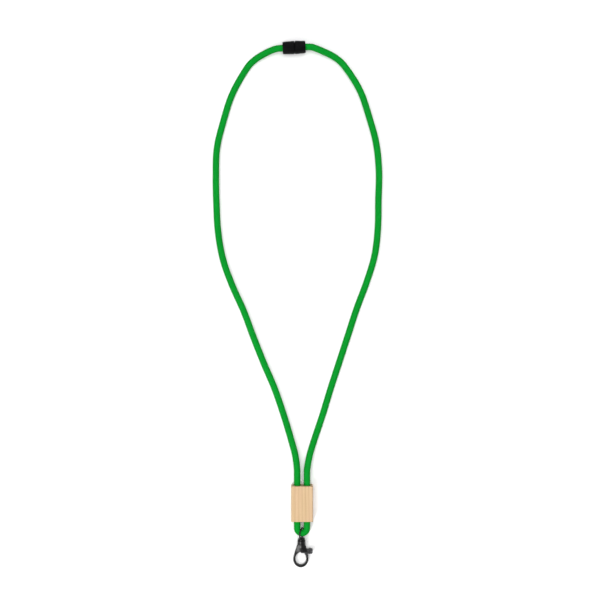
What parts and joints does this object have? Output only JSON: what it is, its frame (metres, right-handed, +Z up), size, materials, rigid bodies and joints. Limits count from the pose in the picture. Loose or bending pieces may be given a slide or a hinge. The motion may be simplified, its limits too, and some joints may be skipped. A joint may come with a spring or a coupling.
{
  "type": "neck lanyard with swivel hook",
  "caption": "Neck lanyard: a loop of round braided cord with a breakaway clasp at the back, a wooden slider in front and a swivel snap hook for a badge.",
  "frame": {"origin": "on the surface it lies on, under the middle of the box round its hard pieces (clasp, slider and hook)", "axes": "+Y from the hook towards the breakaway clasp along the lanyard's length, +Z up from the resting surface, +X to the right seen from above"},
  "size_m": [0.1565, 0.4849, 0.012],
  "materials": {
    "cord": "braided round cord",
    "clasp_plastic": "satin moulded",
    "wood": "sanded, unvarnished",
    "hook_black": "satin black coating",
    "trigger_black": "satin dark grey coating",
    "rivet_metal": "satin black coating",
    "ferrule_metal": "crimped, plain",
    "spring_steel": "bright wire"
  },
  "bodies": {
    "lanyard": {"cord_left": "cord", "cord_loop": "cord", "cord_right": "cord", "cord_end_socket": "cord", "socket_half": "clasp_plastic", "socket_ferrule": "ferrule_metal"},
    "plug": {"plug_half": "clasp_plastic", "plug_ferrule": "ferrule_metal", "cord_end_plug": "cord"},
    "slider": {"slider_block": "wood"},
    "eye": {"swivel_eye": "hook_black"},
    "hook": {"hook_body": "hook_black", "trigger_rivet": "rivet_metal", "trigger_spring": "spring_steel"},
    "trigger": {"trigger": "trigger_black"}
  },
  "joints": [
    {"name": "clasp_release", "type": "slide", "parent": "lanyard", "child": "plug", "axis": [0.9986, 0.0523, 0], "range_m": [0, 0.012], "deforming": ["cord_right"]},
    {"name": "slider_slide", "type": "slide", "parent": "lanyard", "child": "slider", "axis": [0, 1, 0], "range_m": [-0.002, 0.012]},
    {"name": "hook_swing", "type": "hinge", "parent": "lanyard", "child": "eye", "pos_m": [0.00371, -0.21, 0.00604], "axis": [-0.9038, 0.0868, -0.419], "range_deg": [0, 90]},
    {"name": "hook_swivel", "type": "hinge", "parent": "eye", "child": "hook", "pos_m": [0.0037, -0.2103, 0.006], "axis": [-0.0346, -0.9908, -0.1305], "continuous": true},
    {"name": "trigger_open", "type": "hinge", "parent": "hook", "child": "trigger", "pos_m": [0.00288, -0.22505, 0.00406], "axis": [0.0046, 0.1304, -0.9914], "range_deg": [0, 22], "stiffness_Nm_per_rad": 0.04, "springref_deg": -5.73, "deforming": ["trigger_spring"]}
  ]
}
